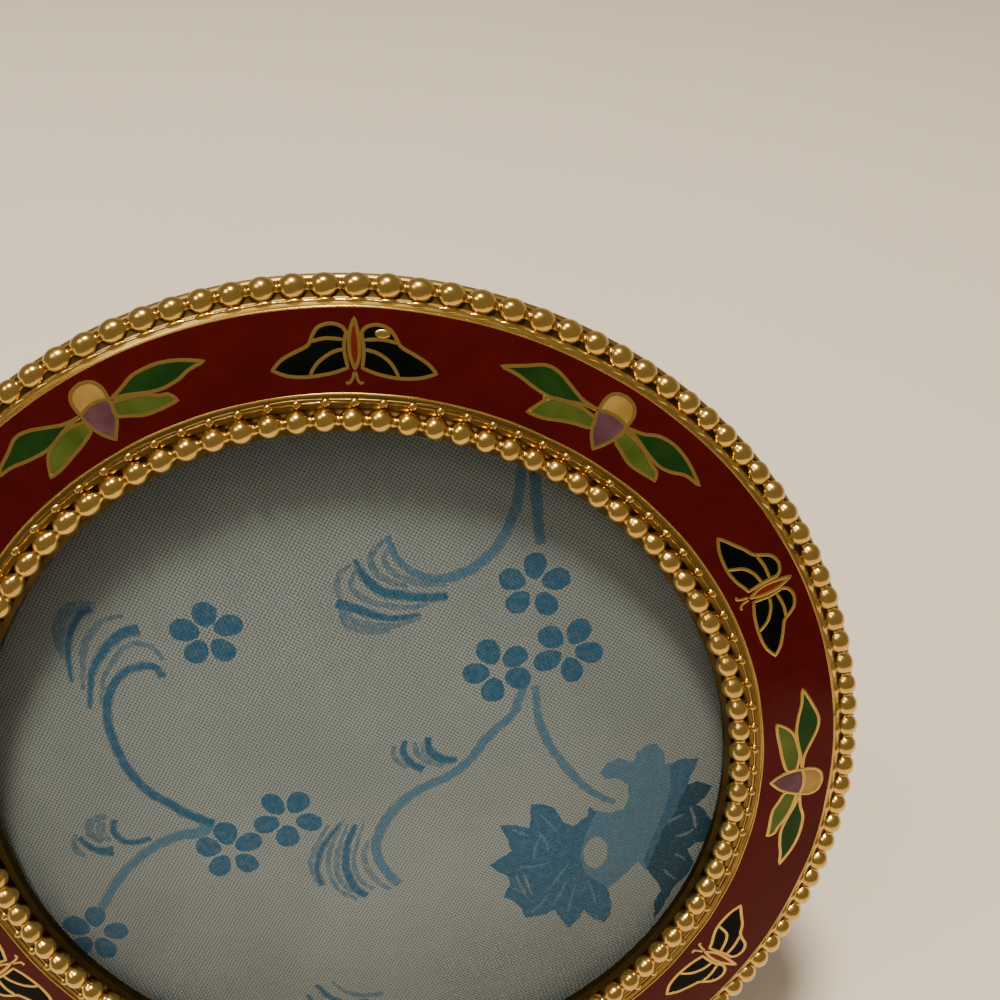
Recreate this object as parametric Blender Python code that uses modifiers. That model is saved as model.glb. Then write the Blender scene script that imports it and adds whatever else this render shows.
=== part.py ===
# A small round photo frame: a gilt brass ring with a band of enamel between two beaded wires, a pane, a printed
# cloth and a board behind it, and a hinged strut that holds it leaning back.
#
# Metres, +Z up. The frame faces -Y and stands on the table at z = 0. The ring is built face up round its own
# axis, with its centre at the origin, and is then tipped up and lifted by its parent empty.

from math import cos, pi, radians, sin

import bmesh
import bpy
from mathutils import Vector

MM = 0.001
SEGMENTS = 60

# How the frame stands
LEAN = radians(18)
TIP_UP = pi / 2 - LEAN
FLAT_SPOT_DEPTH = 0.35 * MM

# The ring, as radii from its axis and heights over the enamel's inner edge
OPENING_RADIUS = 34.8 * MM
INNER_BEAD_ROW_RADIUS = 36.0 * MM
INNER_BEAD_ROW_HEIGHT = 0.0
INNER_BEAD_RADIUS = 1.1 * MM
INNER_BEADS = 98
ENAMEL_INNER_RADIUS = 38.3 * MM
ENAMEL_OUTER_RADIUS = 44.9 * MM
ENAMEL_DROP = 0.4 * MM
ENAMEL_THICKNESS = 0.6 * MM
EDGE_WIRE_WIDTH = 0.35 * MM
OUTER_BEAD_ROW_RADIUS = 46.7 * MM
OUTER_BEAD_ROW_HEIGHT = -1.6 * MM
OUTER_BEAD_RADIUS = 1.15 * MM
OUTER_BEADS = 127
BEAD_WAIST = 0.5
WALL_RADIUS = 46.95 * MM
WALL_THICKNESS = 0.95 * MM
RIM_BACK_HEIGHT = -6.8 * MM
LIP_BACK_HEIGHT = -1.75 * MM
LEDGE_HEIGHT = -2.95 * MM

# What the ring holds, front to back
GLASS_RADIUS = 44.0 * MM
GLASS_FRONT = -1.85 * MM
GLASS_THICKNESS = 0.8 * MM
CLOTH_RADIUS = 43.8 * MM
CLOTH_FRONT = -2.75 * MM
CLOTH_THICKNESS = 0.4 * MM
BOARD_RADIUS = 45.6 * MM
BOARD_FRONT = -4.1 * MM
BOARD_FACE_RADIUS = 43.6 * MM
BOARD_FACE_FRONT = -3.25 * MM
BOARD_BACK = -6.3 * MM

# The strut and its hinge. Its open angle is measured from the board.
HINGE_ABOVE_CENTRE = 14.0 * MM
HINGE_AXIS_HEIGHT = -8.4 * MM
OPEN_ANGLE = radians(32)
KNUCKLE_RADIUS = 1.3 * MM
KNUCKLE_BORE_RADIUS = 0.6 * MM
STRUT_THICKNESS = 1.0 * MM
STRUT_TOP_HALF_WIDTH = 6.0 * MM
STRUT_FOOT_HALF_WIDTH = 9.0 * MM
STRUT_CORNER_RADIUS = 2.5 * MM
NECK_HALF_WIDTH = 3.0 * MM
NECK_LENGTH = 2.2 * MM
SHOULDER_LENGTH = 2.4 * MM
CORNER_STEPS = 4
HEEL_LENGTH = 1.9 * MM
LUG_INNER = 3.3 * MM
LUG_OUTER = 5.3 * MM
PLATE_HALF_WIDTH = 8.0 * MM
PLATE_ABOVE = 6.0 * MM
PLATE_BELOW = 4.0 * MM
PLATE_FRONT = -6.4 * MM
PLATE_THICKNESS = 0.5 * MM
PIN_RADIUS = 0.5 * MM
PIN_HEAD_RADIUS = 0.95 * MM
PIN_HEAD_THICKNESS = 0.4 * MM
PIN_HEAD_GAP = 0.1 * MM
HINGE_SIDES = 16

# The ring's centre is as high over the table as the lowest edge of the rim lets it be, and the flat spot's middle
# lies at y = 0.
RING_CENTRE_Z = WALL_RADIUS * cos(LEAN) - RIM_BACK_HEIGHT * sin(LEAN) - FLAT_SPOT_DEPTH
FLAT_SPOT_LENGTH = FLAT_SPOT_DEPTH / sin(LEAN)
RING_CENTRE_Y = WALL_RADIUS * sin(LEAN) + RIM_BACK_HEIGHT * cos(LEAN) + FLAT_SPOT_LENGTH * cos(LEAN) ** 2 / 2


def clear_scene():
    for obj in list(bpy.data.objects):
        bpy.data.objects.remove(obj)


def make_collection(name):
    collection = bpy.data.collections.new(name)
    bpy.context.scene.collection.children.link(collection)
    return collection


def make_material(name, colour, metallic, roughness, alpha=1.0):
    material = bpy.data.materials.new(name)
    material.use_nodes = True
    shader = material.node_tree.nodes["Principled BSDF"]
    shader.inputs["Base Color"].default_value = (*colour, 1.0)
    shader.inputs["Metallic"].default_value = metallic
    shader.inputs["Roughness"].default_value = roughness
    shader.inputs["Alpha"].default_value = alpha
    material.diffuse_color = (*colour, alpha)
    return material


def add_object(name, data, collection, parent, material):
    obj = bpy.data.objects.new(name, data)
    collection.objects.link(obj)
    obj.parent = parent
    if material is not None:
        data.materials.append(material)
    return obj


def shade_smooth(obj, sharp_angle=radians(35)):
    for face in obj.data.polygons:
        face.use_smooth = True
    obj.data.set_sharp_from_angle(angle=sharp_angle)


def turned_ring(name, profile, collection, parent, material):
    """A closed outline of (radius, height) points turned round the ring's axis."""
    mesh = bpy.data.meshes.new(name)
    corners = [(radius, 0.0, height) for radius, height in profile]
    edges = [(index, (index + 1) % len(corners)) for index in range(len(corners))]
    mesh.from_pydata(corners, edges, [])
    obj = add_object(name, mesh, collection, parent, material)
    turn = obj.modifiers.new("turn", "SCREW")
    turn.steps = SEGMENTS
    turn.render_steps = SEGMENTS
    turn.use_merge_vertices = True
    turn.merge_threshold = 0.00001
    turn.use_smooth_shade = True
    turn.use_normal_calculate = True
    return obj


def flat_disc(name, outline, collection, parent, material):
    """A solid round disc. Its outline runs from its front edge to its back edge as (radius, height) points."""
    mesh = bpy.data.meshes.new(name)
    shape = bmesh.new()
    rows = []
    for radius, height in outline:
        made = bmesh.ops.create_circle(shape, segments=SEGMENTS, radius=radius)
        bmesh.ops.translate(shape, verts=made["verts"], vec=Vector((0, 0, height)))
        rows.append(made["verts"])
    for upper, lower in zip(rows, rows[1:]):
        for index in range(SEGMENTS):
            after = (index + 1) % SEGMENTS
            shape.faces.new((upper[index], lower[index], lower[after], upper[after]))
    shape.faces.new(rows[0])
    shape.faces.new(list(reversed(rows[-1])))
    bmesh.ops.recalc_face_normals(shape, faces=shape.faces)
    shape.to_mesh(mesh)
    shape.free()
    obj = add_object(name, mesh, collection, parent, material)
    shade_smooth(obj)
    return obj


def beaded_wire(name, row_radius, height, bead_radius, beads, collection, parent, material):
    """A string of beads in one piece, which is thick at each bead's middle and thin between two beads."""
    curve = bpy.data.curves.new(name, "CURVE")
    curve.dimensions = "3D"
    curve.bevel_depth = bead_radius
    curve.bevel_resolution = 1
    path = curve.splines.new("POLY")
    path.points.add(2 * beads - 1)
    path.use_cyclic_u = True
    path.use_smooth = True
    for index, point in enumerate(path.points):
        turn = pi * index / beads
        point.co = (row_radius * sin(turn), row_radius * cos(turn), height, 1.0)
        point.radius = BEAD_WAIST if index % 2 else 1.0
    return add_object(name, curve, collection, parent, material)


def cylinder_along_x(shape, radius, start, end, sides=HINGE_SIDES):
    made = bmesh.ops.create_cone(
        shape, cap_ends=True, segments=sides, radius1=radius, radius2=radius, depth=end - start
    )
    for vertex in made["verts"]:
        x, y, z = vertex.co
        vertex.co = (z + (start + end) / 2, y, -x)


def block(shape, low, high):
    made = bmesh.ops.create_cube(shape, size=1.0)
    for vertex in made["verts"]:
        vertex.co = [middle_of(axis_low, axis_high, place) for axis_low, axis_high, place in zip(low, high, vertex.co)]


def middle_of(low, high, place):
    return (low + high) / 2 + place * (high - low)


def cutter_from(name, build, collection, parent):
    mesh = bpy.data.meshes.new(name)
    shape = bmesh.new()
    build(shape)
    shape.to_mesh(mesh)
    shape.free()
    obj = add_object(name, mesh, collection, parent, None)
    obj.hide_render = True
    obj.display_type = "WIRE"
    return obj


def combine(obj, other, operation):
    change = obj.modifiers.new(operation.lower() + "_" + other.name, "BOOLEAN")
    change.operation = operation
    change.solver = "EXACT"
    change.object = other


def frame_body_profile():
    """The section of the stamped ring, from the lip outwards over the front and back inside."""
    groove_inner = INNER_BEAD_ROW_RADIUS
    groove_outer = OUTER_BEAD_ROW_RADIUS
    inner_wire = ENAMEL_INNER_RADIUS - EDGE_WIRE_WIDTH
    outer_wire = ENAMEL_OUTER_RADIUS + EDGE_WIRE_WIDTH
    floor_gap = 0.1 * MM
    floor_inner = -ENAMEL_THICKNESS - floor_gap
    floor_outer = floor_inner - ENAMEL_DROP
    return [
        (OPENING_RADIUS, -0.45 * MM),
        (groove_inner - 0.8 * MM, -0.95 * MM),
        (groove_inner, -1.3 * MM),
        (groove_inner + 0.85 * MM, -0.95 * MM),
        (groove_inner + 1.2 * MM, -0.25 * MM),
        (inner_wire, 0.05 * MM),
        (ENAMEL_INNER_RADIUS, 0.05 * MM),
        (ENAMEL_INNER_RADIUS, floor_inner),
        (ENAMEL_OUTER_RADIUS, floor_outer),
        (ENAMEL_OUTER_RADIUS, -ENAMEL_DROP + 0.05 * MM),
        (outer_wire, -ENAMEL_DROP),
        (outer_wire, -1.7 * MM),
        (groove_outer - 0.75 * MM, -2.75 * MM),
        (WALL_RADIUS, LEDGE_HEIGHT),
        (WALL_RADIUS, RIM_BACK_HEIGHT),
        (WALL_RADIUS - WALL_THICKNESS, RIM_BACK_HEIGHT),
        (WALL_RADIUS - WALL_THICKNESS, LEDGE_HEIGHT - WALL_THICKNESS),
        (ENAMEL_OUTER_RADIUS - 0.3 * MM, LEDGE_HEIGHT - WALL_THICKNESS / 2),
        (ENAMEL_OUTER_RADIUS - 0.5 * MM, LIP_BACK_HEIGHT),
        (OPENING_RADIUS, LIP_BACK_HEIGHT),
    ]


def make_frame_body(collection, cutters, tipped, material):
    ring = turned_ring("frame_body", frame_body_profile(), collection, tipped, material)

    def table(shape):
        block(shape, (-20 * MM, -20 * MM, -4 * MM), (20 * MM, 20 * MM, 0))

    combine(ring, cutter_from("cutter_flat_spot", table, cutters, None), "DIFFERENCE")
    return ring


def make_enamel(collection, tipped, material):
    gap = 0.1 * MM
    inner = ENAMEL_INNER_RADIUS + gap
    outer = ENAMEL_OUTER_RADIUS - gap
    profile = [
        (inner, 0.0),
        (outer, -ENAMEL_DROP),
        (outer, -ENAMEL_DROP - ENAMEL_THICKNESS),
        (inner, -ENAMEL_THICKNESS),
    ]
    return turned_ring("enamel_band", profile, collection, tipped, material)


def strut_foot_y(thickness_place, hinge_z):
    """Where a line along the strut meets the table, as a place along the strut's own Y."""
    tilt = TIP_UP + OPEN_ANGLE
    return (-hinge_z - thickness_place * cos(tilt)) / sin(tilt)


def strut_outline():
    """The strut's right-hand outline from its heel down to its foot: x, y, and whether y is measured from the foot."""
    points = [
        (NECK_HALF_WIDTH, HEEL_LENGTH, False),
        (NECK_HALF_WIDTH, -NECK_LENGTH, False),
        (STRUT_TOP_HALF_WIDTH, -NECK_LENGTH - SHOULDER_LENGTH, False),
    ]
    for step in range(CORNER_STEPS + 1):
        turn = step * pi / 2 / CORNER_STEPS
        x = STRUT_FOOT_HALF_WIDTH - STRUT_CORNER_RADIUS * (1 - cos(turn))
        points.append((x, STRUT_CORNER_RADIUS * (1 - sin(turn)), True))
    return points


def make_strut(collection, cutters, hinge, hinge_z, material):
    """A tapered leaf with a knuckle round the pin. Its heel stops against the bracket when it is open."""
    outline = strut_outline()
    shape = bmesh.new()
    layers = []
    for thickness_place in (STRUT_THICKNESS / 2, -STRUT_THICKNESS / 2):
        foot_y = strut_foot_y(thickness_place, hinge_z)
        right = [(x, foot_y + y if from_foot else y) for x, y, from_foot in outline]
        around = right + [(-x, y) for x, y in reversed(right)]
        layers.append([shape.verts.new((x, y, thickness_place)) for x, y in around])
    front, back = layers
    for index in range(len(front)):
        after = (index + 1) % len(front)
        shape.faces.new((front[index], front[after], back[after], back[index]))
    shape.faces.new(front)
    shape.faces.new(list(reversed(back)))
    bmesh.ops.recalc_face_normals(shape, faces=shape.faces)
    mesh = bpy.data.meshes.new("easel_strut")
    shape.to_mesh(mesh)
    shape.free()
    strut = add_object("easel_strut", mesh, collection, hinge, material)

    def knuckle(shape):
        cylinder_along_x(shape, KNUCKLE_RADIUS, -NECK_HALF_WIDTH, NECK_HALF_WIDTH)

    def bore(shape):
        cylinder_along_x(shape, KNUCKLE_BORE_RADIUS, -2 * LUG_OUTER, 2 * LUG_OUTER)

    combine(strut, cutter_from("joined_strut_knuckle", knuckle, cutters, hinge), "UNION")
    combine(strut, cutter_from("cutter_strut_bore", bore, cutters, hinge), "DIFFERENCE")
    return strut


def make_bracket(collection, cutters, tipped, material):
    """A small plate on the board with two lugs that carry the pin."""
    axis = Vector((0, HINGE_ABOVE_CENTRE, HINGE_AXIS_HEIGHT))
    plate_back = PLATE_FRONT - PLATE_THICKNESS
    mesh = bpy.data.meshes.new("hinge_bracket")
    shape = bmesh.new()
    block(
        shape,
        (-PLATE_HALF_WIDTH, -PLATE_BELOW, plate_back - axis.z),
        (PLATE_HALF_WIDTH, PLATE_ABOVE, PLATE_FRONT - axis.z),
    )
    shape.to_mesh(mesh)
    shape.free()
    bracket = add_object("hinge_bracket", mesh, collection, tipped, material)
    bracket.location = axis

    for side, name in ((1, "right"), (-1, "left")):
        low, high = sorted((side * LUG_INNER, side * LUG_OUTER))

        def web(shape):
            block(
                shape,
                (low, -KNUCKLE_RADIUS, 0),
                (high, KNUCKLE_RADIUS, PLATE_FRONT - PLATE_THICKNESS / 2 - axis.z),
            )

        def eye(shape):
            cylinder_along_x(shape, KNUCKLE_RADIUS, low, high)

        for part, build in (("web", web), ("eye", eye)):
            joined = cutter_from(f"joined_{name}_{part}", build, cutters, tipped)
            joined.location = axis
            combine(bracket, joined, "UNION")

    def bore(shape):
        cylinder_along_x(shape, KNUCKLE_BORE_RADIUS, -2 * LUG_OUTER, 2 * LUG_OUTER)

    cut = cutter_from("cutter_lug_bores", bore, cutters, tipped)
    cut.location = axis
    combine(bracket, cut, "DIFFERENCE")
    return bracket


def make_pin(collection, tipped, material):
    """A plain pin with a flat head at each end, turned from one outline."""
    head_start = LUG_OUTER + PIN_HEAD_GAP
    half_length = head_start + PIN_HEAD_THICKNESS
    outline = [
        (half_length, PIN_HEAD_RADIUS),
        (head_start, PIN_HEAD_RADIUS),
        (head_start, PIN_RADIUS),
    ]
    outline += [(-x, radius) for x, radius in reversed(outline)]
    mesh = bpy.data.meshes.new("hinge_pin")
    shape = bmesh.new()
    rows = []
    for x, radius in outline:
        turns = [2 * pi * index / HINGE_SIDES for index in range(HINGE_SIDES)]
        rows.append([shape.verts.new((x, radius * cos(turn), radius * sin(turn))) for turn in turns])
    for first, second in zip(rows, rows[1:]):
        for index in range(HINGE_SIDES):
            after = (index + 1) % HINGE_SIDES
            shape.faces.new((first[index], first[after], second[after], second[index]))
    shape.faces.new(rows[0])
    shape.faces.new(list(reversed(rows[-1])))
    bmesh.ops.recalc_face_normals(shape, faces=shape.faces)
    shape.to_mesh(mesh)
    shape.free()
    pin = add_object("hinge_pin", mesh, collection, tipped, material)
    pin.location = (0, HINGE_ABOVE_CENTRE, HINGE_AXIS_HEIGHT)
    shade_smooth(pin)
    return pin


def build():
    clear_scene()
    collection = make_collection("photo_frame")
    cutters = make_collection("cutters")
    cutters.hide_render = True

    gilt = make_material("gilt_brass", (0.83, 0.55, 0.17), 1.0, 0.22)
    enamel = make_material("red_enamel", (0.055, 0.003, 0.001), 0.0, 0.12)
    glass = make_material("clear_glass", (1.0, 1.0, 1.0), 0.0, 0.02, alpha=0.15)
    print_cotton = make_material("printed_cotton", (0.20, 0.20, 0.16), 0.0, 0.9)
    dark_cloth = make_material("dark_cloth", (0.012, 0.012, 0.016), 0.0, 0.95)

    tipped = bpy.data.objects.new("ring_centre", None)
    collection.objects.link(tipped)
    tipped.location = (0, RING_CENTRE_Y, RING_CENTRE_Z)
    tipped.rotation_euler = (TIP_UP, 0, 0)

    hinge_y = RING_CENTRE_Y + HINGE_ABOVE_CENTRE * sin(LEAN) - HINGE_AXIS_HEIGHT * cos(LEAN)
    hinge_z = RING_CENTRE_Z + HINGE_ABOVE_CENTRE * cos(LEAN) + HINGE_AXIS_HEIGHT * sin(LEAN)
    hinge = bpy.data.objects.new("hinge_axis", None)
    collection.objects.link(hinge)
    hinge.location = (0, hinge_y, hinge_z)
    hinge.rotation_euler = (TIP_UP + OPEN_ANGLE, 0, 0)

    make_frame_body(collection, cutters, tipped, gilt)
    make_enamel(collection, tipped, enamel)
    beaded_wire(
        "inner_beaded_wire",
        INNER_BEAD_ROW_RADIUS,
        INNER_BEAD_ROW_HEIGHT,
        INNER_BEAD_RADIUS,
        INNER_BEADS,
        collection,
        tipped,
        gilt,
    )
    beaded_wire(
        "outer_beaded_wire",
        OUTER_BEAD_ROW_RADIUS,
        OUTER_BEAD_ROW_HEIGHT,
        OUTER_BEAD_RADIUS,
        OUTER_BEADS,
        collection,
        tipped,
        gilt,
    )

    glass_back = GLASS_FRONT - GLASS_THICKNESS
    flat_disc("glass_disc", [(GLASS_RADIUS, GLASS_FRONT), (GLASS_RADIUS, glass_back)], collection, tipped, glass)
    cloth_back = CLOTH_FRONT - CLOTH_THICKNESS
    cloth_edge = [(CLOTH_RADIUS, CLOTH_FRONT), (CLOTH_RADIUS, cloth_back)]
    flat_disc("printed_cloth", cloth_edge, collection, tipped, print_cotton)
    board_edge = [
        (BOARD_FACE_RADIUS, BOARD_FACE_FRONT),
        (BOARD_FACE_RADIUS, BOARD_FRONT),
        (BOARD_RADIUS, BOARD_FRONT),
        (BOARD_RADIUS, BOARD_BACK),
    ]
    flat_disc("back_board", board_edge, collection, tipped, dark_cloth)

    make_bracket(collection, cutters, tipped, gilt)
    make_pin(collection, tipped, gilt)
    make_strut(collection, cutters, hinge, hinge_z, gilt)


build()
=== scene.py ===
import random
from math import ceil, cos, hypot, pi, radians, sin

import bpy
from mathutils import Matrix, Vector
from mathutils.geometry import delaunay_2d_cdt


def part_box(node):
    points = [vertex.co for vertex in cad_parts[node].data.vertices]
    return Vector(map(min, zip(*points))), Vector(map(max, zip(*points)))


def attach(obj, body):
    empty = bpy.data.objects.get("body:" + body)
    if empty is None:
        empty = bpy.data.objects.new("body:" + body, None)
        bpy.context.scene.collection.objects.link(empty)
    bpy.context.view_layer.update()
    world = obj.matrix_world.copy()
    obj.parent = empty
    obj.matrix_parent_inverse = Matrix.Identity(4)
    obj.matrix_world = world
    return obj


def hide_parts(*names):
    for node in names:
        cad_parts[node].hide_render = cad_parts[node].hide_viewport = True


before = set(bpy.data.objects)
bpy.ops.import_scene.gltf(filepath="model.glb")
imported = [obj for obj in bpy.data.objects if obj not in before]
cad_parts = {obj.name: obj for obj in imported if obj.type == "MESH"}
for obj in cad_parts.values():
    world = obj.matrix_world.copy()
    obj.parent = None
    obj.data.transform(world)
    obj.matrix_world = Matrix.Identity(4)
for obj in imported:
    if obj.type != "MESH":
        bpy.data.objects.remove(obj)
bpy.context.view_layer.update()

# The looks of a small round photo frame: a gilt ring of two beaded wires with a band of red enamel between
# them, a pane, a printed cotton cloth behind it, a cloth-covered board and a folding strut.
#
# The ring's own frame lies face up: its axis is +Z, its top is +Y, and an angle on it runs clockwise from the
# top. Heights are measured towards the viewer from the enamel's inner edge.

MM = 0.001

# The CAD's own sizes, which the pieces here keep
LEAN = radians(18)
GLASS_MIDDLE = -2.25 * MM
OPENING_RADIUS = 34.8 * MM
INNER_ROW_RADIUS = 36.0 * MM
INNER_BEAD_RADIUS = 1.1 * MM
INNER_BEADS = 98
ENAMEL_INNER_RADIUS = 38.3 * MM
ENAMEL_OUTER_RADIUS = 44.9 * MM
ENAMEL_DROP = 0.4 * MM
ENAMEL_THICKNESS = 0.6 * MM
OUTER_ROW_RADIUS = 46.7 * MM
OUTER_ROW_HEIGHT = -1.6 * MM
OUTER_BEAD_RADIUS = 1.15 * MM
OUTER_BEADS = 127
WALL_RADIUS = 46.95 * MM
WALL_THICKNESS = 0.95 * MM
RIM_BACK = -6.8 * MM
LIP_BACK = -1.75 * MM
CLOTH_RADIUS = 43.8 * MM
CLOTH_FRONT = -2.75 * MM
CLOTH_THICKNESS = 0.4 * MM

# Finer sizes, which only the looks need
RING_STEPS = 480
CROWN = 0.06 * MM
ENAMEL_ROWS = 16
ENAMEL_ROUGHNESS = 0.07
ENAMEL_UNDER_WIRE = 0.2 * MM
MOTIF_RADIUS = 41.8 * MM
WIRE_HALF_WIDTH = 0.18 * MM
WIRE_FOOT = -0.4 * MM
FEELER_HALF_WIDTH = 0.15 * MM
WIRE_END_SHARE = 0.55
CELL_LIFT = 0.012 * MM
CELL_GRID = 0.7
MOTIFS = 12
MOTIF_STRAY = {1: 0.3, 3: -0.7, 11: 0.3}
DOME_SIDES = 14
TARNISH_HEIGHT = -0.8 * MM
WEAVE_PITCH = 0.31 * MM
WEAVE_TURN = radians(28.5)

# The cloth is flat to this radius, and from there it falls by this much times the cube of the way
BULGE_FLAT = 10 * MM
BULGE_BEND = 100

# A bead's radius, its half length along the wire, and the radius of the neck between two
INNER_BEAD = (INNER_BEAD_RADIUS - 0.02 * MM, 1.12 * MM, 0.5 * MM)
OUTER_BEAD = (OUTER_BEAD_RADIUS - 0.05 * MM, 1.14 * MM, 0.48 * MM)
INNER_LUMP = (0.46 * MM, 0.46 * MM, 0.1 * MM)
OUTER_LUMP = (0.34 * MM, 0.74 * MM, 0.18 * MM)
NECK_BLEND = 9
BEAD_SIDES = 20
LUMP_SIDES = 12
INNER_LUMPS_AHEAD = 0.08

# The rows' radius and height
INNER_BEAD_ROW = (INNER_ROW_RADIUS, 0)
OUTER_BEAD_ROW = (OUTER_ROW_RADIUS, OUTER_ROW_HEIGHT + 0.1 * MM)
INNER_LUMP_ROW = (INNER_ROW_RADIUS + 1.45 * MM, -0.24 * MM)
OUTER_LUMP_ROW = (ENAMEL_OUTER_RADIUS + 0.72 * MM, -0.86 * MM)

# How the strings of beads are crowded or spread: at an angle in degrees, how many beads they are ahead
OUTER_CROWDING = [
    (-60, -0.2), (-33, 0.1), (-20, 0.6), (-5, 0.9), (20, 1.7), (35, 1.9), (45, 1.8), (75, 2.15),
    (105, 1.95), (125, 1.7), (210, 0.4),
]
INNER_CROWDING = [
    (-55, 0.15), (-34, 0.8), (-11, 0.95), (10, 0.85), (36, 0.4), (50, 0.33), (76, 0.68), (135, 0.62),
]

# The camera, in the ring's own frame, with the photograph's field of view
PHOTO_SIZE = 1000
FOCAL_PIXELS = 990
CAMERA_PLACE = Vector((6.8, 57.4, 79.2)) * MM
CAMERA_RIGHT = Vector((0.998, 0.0314, 0.0555))
CAMERA_FORWARD = Vector((0.0628, -0.335, -0.9401))

# The table's outline in metres
FLOOR_CORNERS = [(-0.7, -0.34), (-0.12, -0.04), (0.16, -0.25), (0.8, 0.2), (0.8, 1.2), (-0.9, 1.2)]

# How bright the room is in each direction, and between which cosines its walls and the side lamp fade in
DARK_ROOM = 0.27
WALL_LIGHT = 0.28
DARK_SIDE = (-0.15, -0.57, 0.8)
WALLS_FADE = (-0.1, 0.35)
SIDE_LAMP = (-0.56, -0.32, 0.76)
SIDE_LAMP_LIGHT = 5.5
SIDE_LAMP_FADE = (0.978, 0.986)
ROOM_COLOUR = (1.0, 0.88, 0.74, 1.0)

# The lamp, placed from the beads' highlights and the shadow on the cloth: above and a little to the left
LAMP_DIRECTION = Vector((-0.15, -0.05, 0.987))
LAMP_DISTANCE = 1.2
LAMP_WIDTH = 0.22
LAMP_POWER = 19.5
LAMP_COLOUR = (1.0, 0.9, 0.76)


def ring_place():
    """The matrix from the ring's own frame to where the frame stands, from the pane's place in the CAD."""
    low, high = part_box("glass_disc")
    outward = Vector((0, -cos(LEAN), sin(LEAN)))
    centre = (low + high) / 2 - GLASS_MIDDLE * outward
    return Matrix.Translation(centre) @ Matrix.Rotation(pi / 2 - LEAN, 4, "X")


RING = ring_place()


# Meshes

def add_piece(name, points, faces, materials, slot, replaced=(), face_materials=None, sharp=radians(40)):
    """A mesh piece in the ring's own frame that rides on the frame's body."""
    mesh = bpy.data.meshes.new(name)
    mesh.from_pydata(points, [], faces)
    for material in materials:
        mesh.materials.append(material)
    if face_materials:
        mesh.polygons.foreach_set("material_index", face_materials)
    mesh.polygons.foreach_set("use_smooth", [True] * len(mesh.polygons))
    mesh.set_sharp_from_angle(angle=sharp)
    mesh.update()
    obj = bpy.data.objects.new(name, mesh)
    bpy.context.scene.collection.objects.link(obj)
    obj.matrix_world = RING
    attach(obj, "frame")
    if replaced:
        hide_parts(*replaced)
    return obj


def on_ring(radius, angle, height):
    return (radius * sin(angle), radius * cos(angle), height)


def turned(profile, steps=RING_STEPS, wander=None):
    """A closed outline of (radius, height) turned round the axis. wander(angle) moves it out and up."""
    points, faces = [], []
    count = len(profile)
    for step in range(steps):
        angle = 2 * pi * step / steps
        out, up = wander(angle) if wander else (0, 0)
        points += [on_ring(radius + out, angle, height + up) for radius, height in profile]
        after = (step + 1) % steps
        for index in range(count):
            beside = (index + 1) % count
            here, there = step * count, after * count
            faces.append((here + index, here + beside, there + beside, there + index))
    return points, faces


def arc(centre_radius, centre_height, radius, start, end, steps):
    """Points of a round stretch of an outline, from one direction in degrees to another."""
    turns = [radians(start + (end - start) * step / steps) for step in range(steps + 1)]
    return [(centre_radius + radius * cos(turn), centre_height + radius * sin(turn)) for turn in turns]


def curve_through(points, steps):
    """A smooth line through the points."""
    last = len(points) - 1
    line = []
    for index in range(last):
        near = [points[min(max(index + shift, 0), last)] for shift in (-1, 0, 1, 2)]
        for step in range(steps):
            t = step / steps
            line.append(tuple(catmull_rom(*axis, t) for axis in zip(*near)))
    line.append(tuple(points[-1]))
    return line


def catmull_rom(a, b, c, d, t):
    return b + 0.5 * t * (c - a + t * (2 * a - 5 * b + 4 * c - d + t * (3 * (b - c) + d - a)))


def side_steps(line, closed):
    """For each point of a line, the sideways direction that keeps a band's width through its bends."""
    sides = []
    count = len(line)
    for index in range(count):
        before = line[(index - 1) % count] if closed or index else line[0]
        after = line[(index + 1) % count] if closed or index < count - 1 else line[-1]
        dx, dy = after[0] - before[0], after[1] - before[1]
        length = hypot(dx, dy) or 1.0
        sides.append((-dy / length, dx / length))
    return sides


# The enamel band and its motifs. A motif is drawn flat, in millimetres, x along the ring and y outwards.

def enamel_height(radius):
    """The polished enamel falls a little outwards and is very slightly crowned."""
    across = (radius - ENAMEL_INNER_RADIUS) / (ENAMEL_OUTER_RADIUS - ENAMEL_INNER_RADIUS)
    return -ENAMEL_DROP * across + CROWN * (1 - (2 * across - 1) ** 2)


def on_band(x, y, motif_angle, lift=0.0):
    radius = MOTIF_RADIUS + y * MM
    angle = motif_angle + x * MM / MOTIF_RADIUS
    return on_ring(radius, angle, enamel_height(radius) + lift)


RIBBON_SECTION = [(-1.0, -0.1 * MM), (-0.82, 0.026 * MM), (-0.35, 0.042 * MM)]
RIBBON_SECTION += [(-across, lift) for across, lift in reversed(RIBBON_SECTION)]


def add_ribbon(shape, line, motif_angle, closed=False, half_width=WIRE_HALF_WIDTH):
    """A flat gold wire that stands in the enamel, ground almost flush with it."""
    points, faces = shape
    start = len(points)
    section = len(RIBBON_SECTION)
    for index, ((x, y), (side_x, side_y)) in enumerate(zip(line, side_steps(line, closed))):
        end = not closed and index in (0, len(line) - 1)
        width = half_width / MM * (WIRE_END_SHARE if end else 1.0)
        for across, lift in RIBBON_SECTION:
            place = (x + side_x * across * width, y + side_y * across * width)
            points.append(on_band(*place, motif_angle, lift))
    for index in range(len(line) if closed else len(line) - 1):
        after = (index + 1) % len(line)
        for row in range(section - 1):
            a, b = start + index * section + row, start + after * section + row
            faces.append((a, a + 1, b + 1, b))


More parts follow.
